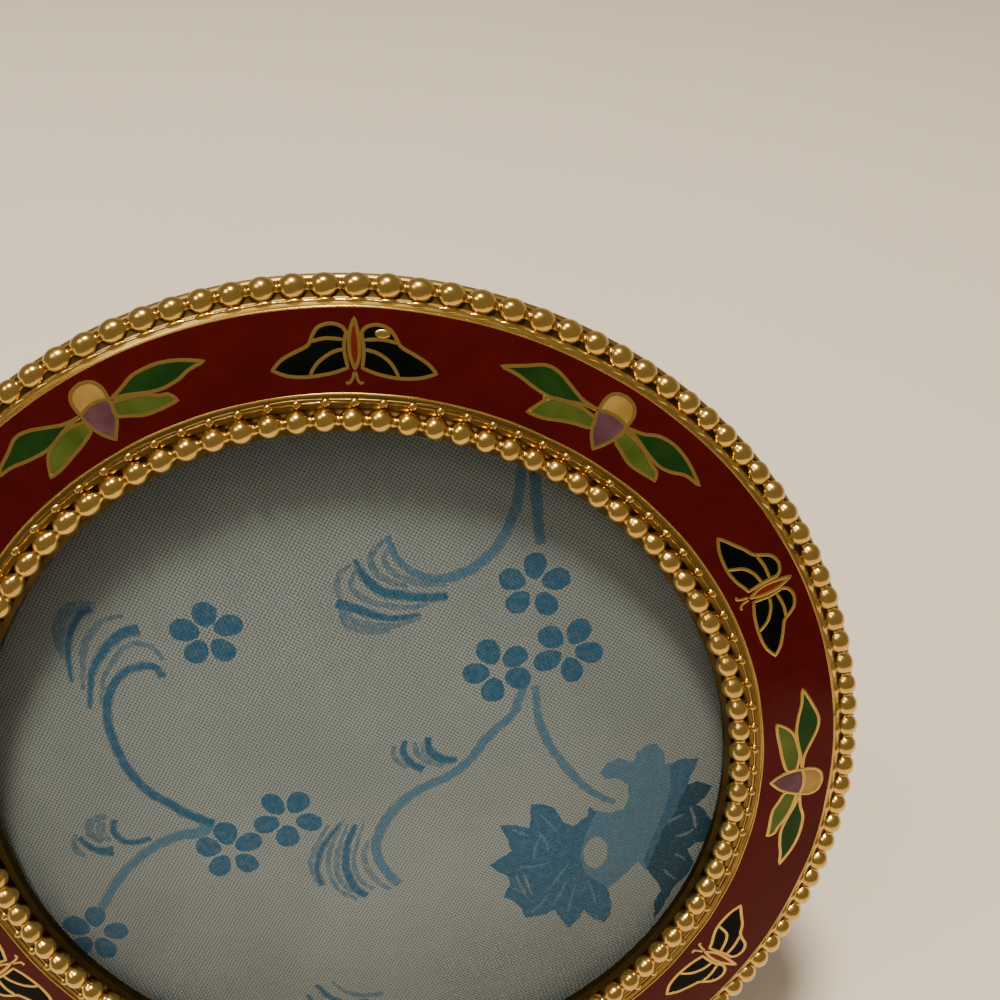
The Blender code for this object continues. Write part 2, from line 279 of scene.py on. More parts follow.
def add_cell(cells, kind, outline, motif_angle):
    """A coloured cell, cut into triangles small enough to follow the crowned band."""
    points, faces, kinds = cells
    start = len(points)
    across, up = zip(*outline)
    grid = [
        (min(across) + CELL_GRID * column, min(up) + CELL_GRID * row)
        for column in range(ceil((max(across) - min(across)) / CELL_GRID))
        for row in range(ceil((max(up) - min(up)) / CELL_GRID))
    ]
    corners = [Vector(corner) for corner in anticlockwise(outline) + grid]
    found = delaunay_2d_cdt(corners, [], [list(range(len(outline)))], 1, 1e-5)
    points += [on_band(x, y, motif_angle, CELL_LIFT) for x, y in found[0]]
    faces += [tuple(start + index for index in face) for face in found[2]]
    kinds += [kind] * len(found[2])


def anticlockwise(outline):
    pairs = zip(outline, outline[1:] + outline[:1])
    turn = sum(x * next_y - next_x * y for (x, y), (next_x, next_y) in pairs)
    return outline if turn > 0 else outline[::-1]


def bent(line, seed):
    """The same line as a hand would bend it again: a little off, differently each time."""
    wobble = random.Random(seed)
    waves = [
        (wobble.uniform(0.5, 1.3), wobble.uniform(0, 2 * pi), wobble.uniform(0.02, 0.05))
        for _ in range(3)
    ]
    moved = []
    for x, y in line:
        off = sum(size * sin(rate * (x + 1.7 * y) + phase) for rate, phase, size in waves)
        moved.append((x + off, y - 0.8 * off))
    return moved


def leaf(root, out, tip, back):
    """A leaf's outline: from its root along one edge to its tip, and back along the other."""
    first = curve_through([root, *out, tip], 4)
    second = curve_through([tip, *back, root], 4)
    return first[:-1] + second[:-1]


BUD_SIDE = [(0.72, -1.8), (1.16, -0.8), (1.42, 0.4), (1.36, 1.5), (0.84, 2.28)]
BUD_TIP = (0, -2.62)
BUD_TOP = (0, 2.55)
BUD_DIVIDED_AT = 0.45
BUD_DIVIDER = [(-1.4, 0.4), (-0.75, 0.62), (0, 0.68), (0.75, 0.62), (1.4, 0.4)]
SPRIG_LEAVES = [
    ("dark leaf", (-1.45, 0.4), [(-2.9, 0.5), (-4.1, 0.98), (-5.65, 1.7), (-6.9, 1.85), (-8.4, 1.32)],
        (-10.2, 0.5), [(-8.7, 0.3), (-7.2, -0.14), (-5.65, -0.35), (-4.1, -0.14), (-2.6, 0.2)]),
    ("light leaf", (-1.4, -0.2), [(-2.9, 0), (-4.1, -0.2), (-5.35, -0.55), (-6.3, -1.36)], (-6.95, -2.2),
        [(-5.65, -2.2), (-4.1, -1.95), (-2.6, -1.6), (-1.3, -1.1)]),
    ("dark leaf", (1.5, 0.45), [(2.86, 0.82), (4.07, 1.3), (5.6, 1.5), (6.8, 1.42), (8, 1.14)], (9.7, 0.54),
        [(8.3, 0.25), (7.27, -0.27), (5.9, -0.54), (4.4, -0.33), (2.86, 0.12)]),
    ("light leaf", (1.48, 0.1), [(2.86, -0.1), (4.07, -0.4), (5.2, -0.9), (6, -1.1)], (6.5, -1.76),
        [(4.98, -1.95), (3.47, -1.95), (2.25, -1.5), (1.25, -1)]),
]

WING_EDGE = [
    (0.6, 1.35), (0.95, 1.82), (1.76, 2.06), (2.67, 1.78), (3.25, 1.1), (3.7, 0.45), (4.8, -0.05),
    (6, -0.62),
]
WING_TIP = (6.85, -1.3)
WING_LOWER = [(5.6, -1.9), (3.9, -2.12), (2.07, -1.92), (0.6, -1.45)]
WING_DIVIDER = [(0.82, 0.75), (2.2, 0.88), (3.42, 0.7)]
WING_ARCH = [(0.86, 0), (1.9, -0.25), (3, -0.95), (3.75, -2)]
BODY_SIDE = [(0.3, 1.4), (0.42, 0.4), (0.36, -0.6)]
BODY_TAIL = (0, 2.5)
BODY_HEAD = (0, -1.55)
FEELER = [(0.1, -1.75), (0.2, -2.3), (0.5, -2.72), (0.76, -2.6)]

GOLD_DROP_AND_HIGHLIGHT = [
    # Name, angle, radius on the ring, width along it, and a quarter of its width across it
    # The first is a painted highlight: a gold dome where a highlight shows on the enamel
    ("highlight_fleck", 2.2 * MM / MOTIF_RADIUS, MOTIF_RADIUS + 1.35 * MM, 1.5 * MM, 0.2 * MM),
    ("gold_drop", radians(22.3), 41.2 * MM, 0.66 * MM, 0.17 * MM),
]
# Its dome, in those quarters: the top's height, then for each row the share of the way out and the height
DOME_TOP = 0.4
DOME_ROWS = [(0.45, 0.36), (0.8, 0.2), (1.0, -0.3)]


def mirrored(line):
    return [(-x, y) for x, y in reversed(line)]


def draw_sprig(wires, cells, angle, seed):
    """A bud between four leaves."""
    half = curve_through([BUD_TIP, *BUD_SIDE, BUD_TOP], 4)
    outline = bent(half[:-1] + mirrored(half)[:-1], seed)
    divider = bent(curve_through(BUD_DIVIDER, 3), seed)
    upper = [point for point in outline if point[1] > BUD_DIVIDED_AT]
    lower = [point for point in outline if point[1] <= BUD_DIVIDED_AT]
    left_side = [point for point in lower if point[0] < 0]
    right_side = [point for point in lower if point[0] >= 0]
    add_cell(cells, "ochre", upper + divider, angle)
    add_cell(cells, "lilac", right_side + list(reversed(divider)) + left_side, angle)
    for index, (kind, root, out, tip, back) in enumerate(SPRIG_LEAVES):
        edge = bent(leaf(root, out, tip, back), seed + index)
        add_cell(cells, kind, edge, angle)
        add_ribbon(wires, edge, angle, closed=True)
    add_ribbon(wires, outline, angle, closed=True)
    add_ribbon(wires, divider, angle)


def draw_butterfly(wires, cells, angle, seed):
    """A butterfly with its head to the middle: a thin body and two wings of three cells each."""
    half = curve_through([BODY_HEAD, *reversed(BODY_SIDE), BODY_TAIL], 5)
    body = bent(half[:-1] + mirrored(half)[:-1], seed)
    add_cell(cells, "body", body, angle)
    wing = curve_through([*WING_EDGE, WING_TIP], 4)[:-1] + curve_through([WING_TIP, *WING_LOWER], 4)
    inner_edge = curve_through([WING_LOWER[-1], (0.78, 0.0), WING_EDGE[0]], 4)
    outline = wing[:-1] + inner_edge[:-1]
    for flip in (False, True):
        turn = mirrored if flip else list
        edge = bent(turn(outline), seed + flip)
        add_cell(cells, "wing", edge, angle)
        add_ribbon(wires, edge, angle, closed=True)
        for line in (WING_DIVIDER, WING_ARCH):
            add_ribbon(wires, bent(turn(curve_through(line, 4)), seed + flip), angle)
        feeler = bent(turn(curve_through(FEELER, 3)), seed + flip)
        add_ribbon(wires, feeler, angle, half_width=FEELER_HALF_WIDTH)
    add_ribbon(wires, body, angle, closed=True)


def make_motifs(gold, enamels):
    wires = ([], [])
    cells = ([], [], [])
    for index in range(MOTIFS):
        draw = draw_sprig if index % 2 else draw_butterfly
        angle = 2 * pi * index / MOTIFS + radians(MOTIF_STRAY.get(index, 0.0))
        draw(wires, cells, angle, 10 * index)
    add_piece("motif_wires", *wires, [gold], "gilt_wire", sharp=radians(60))
    kinds = sorted(enamels)
    points, faces, found = cells
    add_piece(
        "motif_cells",
        points,
        faces,
        [enamels[kind] for kind in kinds],
        "red_enamel",
        face_materials=[kinds.index(kind) for kind in found],
    )


def make_gold_drop_and_highlight(gold):
    """A gold dome in the top butterfly's wing, put where a highlight shows on the enamel as a painted
    highlight, and a drop of gold further along the band.
    """
    sides = DOME_SIDES
    for name, angle, radius, wide, high in GOLD_DROP_AND_HIGHLIGHT:
        points = [on_ring(radius, angle, enamel_height(radius) + DOME_TOP * high)]
        for share, rise in DOME_ROWS:
            for turn in turns_of(sides):
                out = radius + share * high * sin(turn) * 2.0
                along = angle + share * wide / 2 * cos(turn) / radius
                points.append(on_ring(out, along, enamel_height(out) + rise * high))
        faces = [(0, 1 + index, 1 + (index + 1) % sides) for index in range(sides)]
        for row in range(len(DOME_ROWS) - 1):
            for index in range(sides):
                beside = (index + 1) % sides
                a, b = 1 + sides * row + index, 1 + sides * row + beside
                faces.append((a, a + sides, b + sides, b))
        add_piece(name, points, faces, [gold], "gilt_wire")


def make_enamel_ground(enamel):
    rows = range(ENAMEL_ROWS + 1)
    outer = ENAMEL_OUTER_RADIUS + ENAMEL_UNDER_WIRE
    top = [ENAMEL_INNER_RADIUS + (outer - ENAMEL_INNER_RADIUS) * row / ENAMEL_ROWS for row in rows]
    profile = [(radius, enamel_height(radius)) for radius in top]
    profile.append((outer, -ENAMEL_DROP - ENAMEL_THICKNESS))
    profile.append((ENAMEL_INNER_RADIUS, -ENAMEL_THICKNESS))
    add_piece("enamel_ground", *turned(profile[::-1]), [enamel], "red_enamel", replaced=["enamel_band"])


# The gilt ring

# The rounded shoulder that the outer beads sit on: how far out from the enamel, and how far down
SHOULDER = [
    (0.45, 0.18), (0.7, 0.32), (1.0, 0.5), (1.3, 0.66), (1.7, 0.8), (2.1, 0.92), (2.44, 1.06), (2.67, 1.24),
    (2.74, 1.46), (2.66, 1.7), (2.44, 1.92), (2.1, 2.1),
]

# The slope from the inner beads' groove up to the enamel: how far out from its inner edge, and how high
INNER_SLOPE = [(-1.08, -0.26), (-0.86, -0.24), (-0.6, -0.19), (-0.4, -0.16), (-0.24, -0.14), (0.05, -0.14)]
# The first faces of this slope, in the groove beside the inner beads, take painted shade
SHADED_SLOPE_FACES = 4
LIP_FRONT = -0.95 * MM
BEAD_PLAY = -0.1 * MM
ENAMEL_PLAY = 0.1 * MM
CHANNEL_INNER = 0.05 * MM
CHANNEL_OUTER = 0.25 * MM
WALL_FRONT = -3.0 * MM

# The shoulder takes its darkest painted shade between these distances, where the beads hide it
DARK_SHOULDER = (0.9, 2.3)
# How much painted shade a face of the ring takes: none, in the inner groove, the darkest, or under the outer
# beads
CLEAN, GROOVE_SHADE, DARK, SHADE_UNDER_BEADS = range(4)


def ring_profile():
    """The ring's section, from the lip over the front and back inside, and the painted shade on each face."""
    inner = ENAMEL_INNER_RADIUS
    outer = ENAMEL_OUTER_RADIUS
    floor = -ENAMEL_THICKNESS - ENAMEL_PLAY
    lip = [(OPENING_RADIUS, LIP_BACK), (OPENING_RADIUS, LIP_FRONT)]
    groove = arc(INNER_ROW_RADIUS, 0, INNER_BEAD_RADIUS + BEAD_PLAY, 225, 340, 12)
    slope = [(inner + out * MM, up * MM) for out, up in INNER_SLOPE]
    slope += [
        (inner + CHANNEL_INNER, floor),
        (outer + CHANNEL_OUTER, floor - ENAMEL_DROP),
        (outer + CHANNEL_OUTER, -ENAMEL_DROP - ENAMEL_PLAY),
    ]
    shoulder = [(outer + out * MM, -ENAMEL_DROP - down * MM) for out, down in SHOULDER]
    wall = arc(WALL_RADIUS - 0.12 * MM, WALL_FRONT, 0.12 * MM, 60, 0, 3)
    wall += arc(WALL_RADIUS - 0.2 * MM, RIM_BACK + 0.2 * MM, 0.2 * MM, 0, -90, 5)
    wall += arc(WALL_RADIUS - WALL_THICKNESS + 0.15 * MM, RIM_BACK + 0.15 * MM, 0.15 * MM, -90, -180, 4)
    wall += [
        (WALL_RADIUS - WALL_THICKNESS, -3.9 * MM),
        (ENAMEL_OUTER_RADIUS - 0.3 * MM, -3.45 * MM),
        (ENAMEL_OUTER_RADIUS - 0.5 * MM, LIP_BACK),
    ]
    start, end = DARK_SHOULDER
    # Painted shade: the lip darkest, the inner groove and the slope's first faces darker, the shoulder
    # darkest where the beads hide it and darker elsewhere
    painted_shade = [DARK] * len(lip) + [GROOVE_SHADE] * (len(groove) + SHADED_SLOPE_FACES)
    painted_shade += [CLEAN] * (len(slope) - SHADED_SLOPE_FACES)
    painted_shade += [DARK if start < out < end else SHADE_UNDER_BEADS for out, _ in SHOULDER]
    painted_shade += [CLEAN] * len(wall)
    return lip + groove + slope + shoulder + wall, painted_shade


def make_ring(golds):
    """The turned ring, cut flat where it stands. golds: one for each of CLEAN, GROOVE_SHADE, DARK and
    SHADE_UNDER_BEADS; all but the first are darkened as painted shade.
    """
    profile, painted_shade = ring_profile()
    points, faces = turned(profile)
    to_ring = RING.inverted()
    stands_on = [RING @ Vector(point) for point in points]
    for place in stands_on:
        place.z = max(place.z, 0.0)
    points = [tuple(to_ring @ place) for place in stands_on]
    kinds = painted_shade * RING_STEPS
    add_piece("gilt_ring", points, faces, golds, "gilt_body", replaced=["frame_body"], face_materials=kinds)


def wandering(seed, sideways, upwards):
    """How a thin wire strays from a true circle when it is laid by hand."""
    chance = random.Random(seed)
    waves = [
        (chance.choice(range(3, 40)), chance.uniform(0, 2 * pi), chance.uniform(0.4, 1.0))
        for _ in range(9)
    ]
    total = sum(size for _, _, size in waves)

    def wander(angle):
        stray = sum(size * sin(rate * angle + phase) for rate, phase, size in waves) / total
        lift = sum(size * cos((rate + 5) * angle + phase) for rate, phase, size in waves) / total
        return 2 * sideways * stray, 2 * upwards * lift

    return wander


def make_edge_wires(gold, groove_shade_gold):
    """The thin wires along the enamel's edges, and the lumpy line of solder inside the inner one, in the gold
    darkened as painted groove shade.
    """
    wires = [
        # Name, radius, height of its top, half its width, how far it strays, and the seed
        ("inner_edge_wire", ENAMEL_INNER_RADIUS - 0.08 * MM, 0.02 * MM, 0.09 * MM, 0.03 * MM, 3),
        ("outer_edge_wire", ENAMEL_OUTER_RADIUS + 0.27 * MM, -ENAMEL_DROP, 0.09 * MM, 0.04 * MM, 4),
        ("inner_solder_line", ENAMEL_INNER_RADIUS - 0.6 * MM, -0.08 * MM, 0.14 * MM, 0.09 * MM, 5),
    ]
    for name, radius, top, half, stray, seed in wires:
        rounded = [(x, y - half) for x, y in arc(0, 0, half, 170, 10, 6)]
        section = [(-half, WIRE_FOOT), *rounded, (half, WIRE_FOOT)]
        profile = [(radius + out, top + up) for out, up in section]
        shape = turned(profile, 2 * RING_STEPS, wandering(seed, stray, 0.6 * stray))
        # The solder line lies in the inner groove and takes its painted shade
        add_piece(name, *shape, [groove_shade_gold if "solder" in name else gold], "gilt_wire")


def bead_outline(bead_radius, length, neck, spacing, steps):
    """Half a bead's outline along the wire, from its middle to the middle of the neck: (along, radius)."""
    outline = []
    for step in range(steps + 1):
        along = spacing / 2 * sin(pi / 2 * step / steps)
        swell = bead_radius * max(1 - (along / length) ** 2, 0.0) ** 0.5
        outline.append((along, (swell**NECK_BLEND + neck**NECK_BLEND) ** (1 / NECK_BLEND)))
    return outline


def crowding_at(angle, crowding):
    """How many beads ahead a string is at an angle in degrees."""
    places = [(crowding[-1][0] - 360, crowding[-1][1]), *crowding, (crowding[0][0] + 360, crowding[0][1])]
    angle = (angle - crowding[0][0]) % 360 + crowding[0][0]
    for (start, low), (end, high) in zip(places, places[1:]):
        if start <= angle <= end:
            return low + (high - low) * (angle - start) / (end - start)


def bead_angles(beads, crowding):
    """Where the beads sit, in degrees, the last one repeated before them and the first one after."""
    pitch = 360 / beads
    angles = []
    for bead in range(-1, beads + 1):
        angle = bead * pitch
        for _ in range(4):
            angle = (bead + crowding_at(angle, crowding)) * pitch
        angles.append(angle)
    return angles


def bead_string(
    radius, height, bead_radius, length, neck, beads, crowding, seed, ahead=0.0, around=BEAD_SIDES
):
    """A beaded wire bent to a ring. No two beads are quite the same."""
    chance = random.Random(seed)
    half = bead_outline(bead_radius, length, neck, 2 * pi * radius / beads, 8)
    outline = [(-along, wide) for along, wide in half[:0:-1]] + half[:-1]
    angles = [angle + ahead * 360 / beads for angle in bead_angles(beads, crowding)]
    points, faces = [], []
    for bead in range(beads):
        size = chance.uniform(0.965, 1.0)
        out = chance.uniform(-0.02, 0.02) * MM
        before, here, after = angles[bead:bead + 3]
        for along, wide in outline:
            share = along / half[-1][0]
            near = cos(pi / 2 * share)
            gap = (after - here) if share > 0 else (here - before)
            angle = radians(here + share * gap / 2)
            wide *= 1 - (1 - size) * near
            for turn in turns_of(around):
                reach = radius + out * near + wide * cos(turn)
                points.append(on_ring(reach, angle, height + wide * sin(turn)))
    sections = beads * len(outline)
    for section in range(sections):
        here, after = section * around, (section + 1) % sections * around
        for step in range(around):
            beside = (step + 1) % around
            faces.append((here + step, here + beside, after + beside, after + step))
    return points, faces


def turns_of(count):
    return [2 * pi * index / count for index in range(count)]


def make_beads(gold):
    """The two rows of beads, and the small lumps of solder between each row and the enamel."""
    inner = (INNER_BEADS, INNER_CROWDING)
    outer = (OUTER_BEADS, OUTER_CROWDING)
    inner_beads = bead_string(*INNER_BEAD_ROW, *INNER_BEAD, *inner, seed=1)
    outer_beads = bead_string(*OUTER_BEAD_ROW, *OUTER_BEAD, *outer, seed=2)
    inner_lumps = bead_string(
        *INNER_LUMP_ROW, *INNER_LUMP, *inner, seed=3, ahead=INNER_LUMPS_AHEAD, around=LUMP_SIDES
    )
    outer_lumps = bead_string(*OUTER_LUMP_ROW, *OUTER_LUMP, *outer, seed=4, around=LUMP_SIDES)
    smooth = radians(70)
    add_piece("solder_lumps", *inner_lumps, [gold], "gilt_wire")
    add_piece("outer_lumps", *outer_lumps, [gold], "gilt_wire")
    add_piece("inner_beads", *inner_beads, [gold], "gilt_wire", replaced=["inner_beaded_wire"], sharp=smooth)
    add_piece("outer_beads", *outer_beads, [gold], "gilt_wire", replaced=["outer_beaded_wire"], sharp=smooth)


# The printed cloth. The print is drawn flat, in millimetres, x to the right and y up from the ring's centre.

BLOSSOMS = [
    # Centre, and the first petal's direction in degrees
    (15.6, 19.9, 90),
    (19.1, 13.4, 68),
    (12.6, 11.2, 46),
    (-14, 14.9, 96),
    (-7.6, -5.2, 57),
    (-13.3, -8.9, 96),
    (-27.4, -19, 81),
]
STROKES = [
    # The tone, the line, and the width at its start, its middle and its end
    # The plume that hangs at the top
    ("soft", [(14, 33.5), (13.9, 28.5), (12.7, 24.8), (11.5, 22.9), (9.6, 21.4), (7.4, 20.6), (5.6, 20.7),
        (4, 21.7), (2.9, 23.1), (2.4, 24.7)], 0.6, 0.75, 0.25),
    ("soft", [(15, 33.5), (15.5, 28.5), (16, 24)], 0.8, 0.8, 0.7),
    ("full", [(7.8, 18.9), (5.9, 18.7), (3.7, 18.9), (1.8, 19.3), (0.6, 20.4), (-0.1, 21.4), (-0.5, 22.4)],
        0.6, 0.8, 0.25),
    ("full", [(5.3, 17), (3.1, 16.6), (1.2, 16.9), (-0.4, 17.5), (-1.6, 17.9), (-2.2, 18.2)], 0.25, 0.7,
        0.9),
    ("pale", [(2.1, 24.2), (1, 23), (1.1, 21.6), (2.2, 20.5), (4.2, 19.8)], 0.3, 0.7, 0.4),
    ("pale", [(2.4, 23.6), (2.1, 22.2), (3.2, 20.9), (5.2, 20.1), (7.6, 20)], 0.3, 0.6, 0.4),
    ("pale", [(-0.8, 21.9), (-1.9, 21), (-2.2, 19.6), (-1.9, 18.6)], 0.3, 0.6, 0.5),
    ("pale", [(-0.5, 21.4), (-0.9, 19.8), (0.2, 18.6), (2.2, 17.9), (4.4, 17.7), (6, 18.1)], 0.3, 0.6, 0.4),
    ("pale", [(-1.9, 17.4), (-0.8, 16.3), (1, 15.8), (3.2, 15.9), (5.3, 16.7)], 0.5, 0.8, 0.3),
    ("pale", [(-2, 17), (-1.3, 15.8), (0.4, 15.2), (2.6, 15.3)], 0.4, 0.5, 0.3),
    # The plume at the left, and the long stem from it
    ("full", [(-20, 15.4), (-21.5, 15), (-22.7, 14), (-23.7, 12.7), (-24.5, 11.2), (-24.9, 9.5),
        (-25.2, 7.2)], 1, 0.65, 0.25),
    ("full", [(-24, 17.5), (-25, 16.9), (-25.9, 15.5), (-26.4, 14), (-26.6, 12.2), (-26.5, 10)], 0.45, 0.5,
        0.2),
    ("pale", [(-23.6, 17.8), (-25.5, 17.6), (-26.7, 16.4), (-27.2, 14.6), (-27.1, 12.4)], 0.6, 1.3, 0.3),
    ("pale", [(-21.3, 16.8), (-23, 16.3), (-24.2, 15.1), (-25, 13.6), (-25.4, 11.5), (-25.6, 9.2)], 0.3,
        0.7, 0.2),
    ("pale", [(-18.1, 12.2), (-18.8, 13.4), (-20.2, 14), (-21.6, 13.5), (-22.7, 12), (-23.6, 10.4),
        (-24.2, 7.6)], 0.4, 0.55, 0.25),
    ("full", [(-18.3, 10.5), (-18.8, 11.4), (-19.7, 11.7), (-21.6, 11.1), (-22.8, 9.7), (-23.5, 8),
        (-23.7, 5.6), (-23.2, 3), (-22.3, 0.5), (-20.6, -2), (-18.8, -3.3), (-17.1, -4.6), (-14.7, -5.8)],
        0.6, 0.7, 0.9),
    ("soft", [(-15.2, -6), (-16.2, -6.8), (-18.2, -7.1), (-20, -8), (-22.1, -9.6), (-23.8, -11.4),
        (-25.1, -13.3), (-25.9, -14.9), (-26.8, -16.2)], 1.1, 0.75, 0.7),
    # The small plume at the left
    ("full", [(-20.9, -7.4), (-22.8, -7.9), (-24, -7.3), (-24.4, -6.2), (-24.1, -5.2)], 0.4, 0.5, 0.4),
    ("full", [(-27.7, -7.2), (-27, -8.2), (-25.9, -8.8), (-24.6, -8.9)], 0.4, 0.6, 1.1),
    ("pale", [(-24.9, -4.7), (-26.4, -5.4), (-26.6, -6.8), (-25.6, -7.8)], 0.6, 0.9, 0.5),
    ("pale", [(-25.3, -5.4), (-25.6, -6.6), (-24.8, -7.7)], 0.6, 0.9, 0.4),
    ("pale", [(-28, -6.9), (-28.3, -8.3), (-27.4, -9.5)], 0.4, 0.7, 0.4),
    # The long stem in the middle, and the one to the flower heads
    ("soft", [(15.2, 10.2), (14.2, 6.6), (12, 4.2), (10, 1.2), (8, -0.5), (5.7, -1.7), (4, -3), (2.5, -4.7),
        (1.5, -6.7), (1, -8.7), (1.5, -10.7), (2.6, -12.5), (3.4, -13.3)], 0.55, 0.75, 0.8),
    ("soft", [(16.2, 9.6), (16.8, 5.6), (18.4, 2.2), (21, -1.1), (22.8, -2.7), (24.8, -3.6)], 0.4, 0.65,
        0.3),
    # The small plume in the middle
    ("full", [(6.1, 4), (6.2, 2.7), (6.9, 1.9), (7.7, 1.4), (8.9, 1.5)], 0.4, 0.8, 0.5),
    ("full", [(3.9, 3.6), (3.8, 2.2), (4.5, 1.1), (5.7, 0.3)], 0.4, 0.6, 0.7),
    ("pale", [(2.9, 3), (2.9, 1.7), (4.1, 0.5)], 0.4, 0.6, 0.4),
    ("pale", [(4.8, 3.4), (5.2, 2), (6.4, 1.1), (7.7, 0.8)], 0.5, 0.6, 0.4),
    ("pale", [(5.5, 3.4), (5.8, 2.2), (6.6, 1.4)], 0.3, 0.4, 0.3),
    # The plume at the long stem's end
    ("full", [(0.1, -14.7), (-0.9, -14), (-1.6, -12.7), (-2, -11), (-1.9, -9), (-1.4, -7.2), (-0.9, -6)],
        0.7, 0.7, 0.25),
    ("full", [(-4.4, -13.4), (-4.9, -11.5), (-4.6, -9.7), (-4, -8.2), (-3, -6.7), (-2.3, -5.8)], 0.45, 0.45,
        0.2),
    ("pale", [(-0.1, -5.6), (-0.6, -7.5), (-1.1, -9.5), (-1.1, -11.5), (-0.4, -13), (0.7, -13.9)], 0.2, 0.5,
        0.5),
    ("pale", [(-2.1, -5.4), (-3.2, -8), (-3.7, -10), (-3.6, -12), (-2.7, -14), (-0.9, -15.1)], 0.2, 0.5,
        0.4),
    ("pale", [(-1.7, -6), (-2.5, -8.2), (-2.9, -10.5), (-2.7, -12.5), (-1.5, -14.2)], 0.2, 0.6, 0.5),
    ("pale", [(0.3, -7.9), (-0.2, -9.5), (0.1, -11.2), (1.2, -13), (2.4, -13.9)], 0.3, 0.7, 0.4),
    ("pale", [(-3.6, -6), (-5.1, -9), (-5.5, -11), (-5.1, -12.9)], 0.2, 0.5, 0.3),
    # The plume at the lower edge
    ("full", [(0, -28.6), (-2.2, -29), (-4, -28), (-5.4, -26.2)], 0.7, 0.6, 0.25),
    ("full", [(-1, -30.4), (-3.4, -30.6), (-5.2, -29.4), (-6.4, -27.6)], 0.7, 0.5, 0.25),
    ("pale", [(1.6, -27.6), (-0.6, -27.8), (-2.4, -27.2), (-3.8, -25.8)], 0.6, 0.5, 0.25),
]
LIGHT_LINES = [
    # Fine lines inside the flower heads, where the print is thin or left out
    ("thin", [(15.2, -12.4), (15.7, -13.6), (16.4, -15.2)]),
    ("thin", [(16, -12.3), (16.5, -13.8), (17, -15)]),
    ("thin", [(15, -14), (15.9, -14.6)]),
    ("light", [(20.5, -11), (19.6, -12.6), (18.5, -14.4)]),
    ("light", [(20.4, -13.2), (19.9, -14.6), (19.2, -16.2)]),
    ("light", [(21.4, -13.4), (21, -15.6), (20.8, -17.2)]),
    ("light", [(22.6, -13), (23.2, -14.8), (23.7, -16.4)]),
    ("light", [(17.6, -7.4), (17, -9), (16.9, -10.4)]),
    ("light", [(17.2, -7), (18, -8.2), (18.4, -9.6)]),
    ("light", [(18.6, -10.8), (17.4, -11.3), (15.6, -11.4)]),
    ("light", [(19.2, -7.2), (18.2, -6), (17.2, -4.8)]),
    ("light", [(16.4, -7.6), (15.4, -7.2), (14.6, -6.8)]),
    ("light", [(18.6, -15), (17.8, -16.2), (17, -17.2)]),
    ("thin", [(32.4, -4.2), (32.9, -5.4), (33.2, -6.8)]),
    ("thin", [(31.2, -7.8), (32.1, -7.6), (33, -7)]),
    ("light", [(31.4, -10), (32, -10.3), (32.6, -10.8)]),
    ("light", [(30.2, -6.4), (31, -5.6), (31.8, -5.2)]),
    ("light", [(30.4, -11.8), (31, -12.6), (31.8, -13.2)]),
]
LINE_TONES = {"thin": "pale", "light": "soft"}
FLOWER_HEADS = [
    ("full", [(16.3, -3.7), (17.6, -3.9), (18.7, -4.2), (19.6, -5.9), (20.8, -6.5), (22, -5.3),
        (22.3, -4.2), (22.9, -4.8), (22.4, -6.4), (21.9, -8), (21.6, -10), (22.2, -12.2), (24.6, -14),
        (25.3, -16), (25.3, -17.4), (24.7, -18.6), (23.4, -18), (22.4, -16.9), (22.1, -17.8), (21, -19.3),
        (20, -18), (19.4, -16.8), (18.3, -17.5), (16.3, -17.9), (16, -16.6), (14.9, -15.6), (14, -15.1),
        (14.6, -13.4), (14.2, -12.3), (13.3, -11.9), (12.4, -11.1), (13.6, -10.2), (14.6, -9.4), (14.2, -8),
        (13.3, -6.3), (14.8, -6.2), (16.3, -6.7), (16.4, -5.2)]),
    ("soft", [(23, -0.2), (23.7, 1), (24.8, 1.5), (26.2, 1.1), (26.6, 2.2), (27.4, 3), (28.4, 3.1),
        (29.2, 2.2), (29.5, 0.8), (31, 1.4), (32.7, 1.4), (32.4, 0.2), (32, -1), (31.6, -4), (30.4, -7.4),
        (29.8, -10.4), (28.6, -12), (27.7, -10.9), (27.2, -11.4), (26.2, -12.7), (24.8, -14.2), (22, -12.4),
        (21.2, -10), (21.6, -7.4), (22.4, -5.4), (22.6, -4.6), (24.2, -4.9), (25.7, -4.4), (26.1, -3),
        (25.9, -1.6), (24.8, -0.8), (23.6, -0.9)]),
    ("full", [(30.2, 1), (31, 1.4), (32.7, 1.4), (32.4, 0.2), (32, -1), (31.7, -3), (31.2, -5),
        (30.2, -7.6), (29.5, -10.2), (28.9, -11.8), (28.2, -10.8), (28.8, -8.2), (29.8, -4.8), (30.2, -1.6),
        (29.9, 0.2)]),
    ("deep", [(31.9, -1.6), (32.8, -1.2), (34.4, -1.8), (33.8, -3.2), (32.9, -4), (33.7, -4.4), (34.8, -6),
        (34.5, -8.4), (33.4, -8.6), (32.6, -9.4), (33.4, -11), (33, -12.4), (31.6, -14.2), (30.8, -16.4),
        (30, -18.2), (29.7, -16.2), (30.4, -14.4), (29.6, -13.2), (28.6, -11.8), (29.2, -9.6), (29.9, -7),
        (31, -4.6), (31.4, -3)]),
]
FLOWER_HEAD_EYE = (23.2, -9.7, 1.25, 1.95)
FRINGE = 0.3
TONES = ["pale", "soft", "full", "deep", "light", "thin", "bare"]


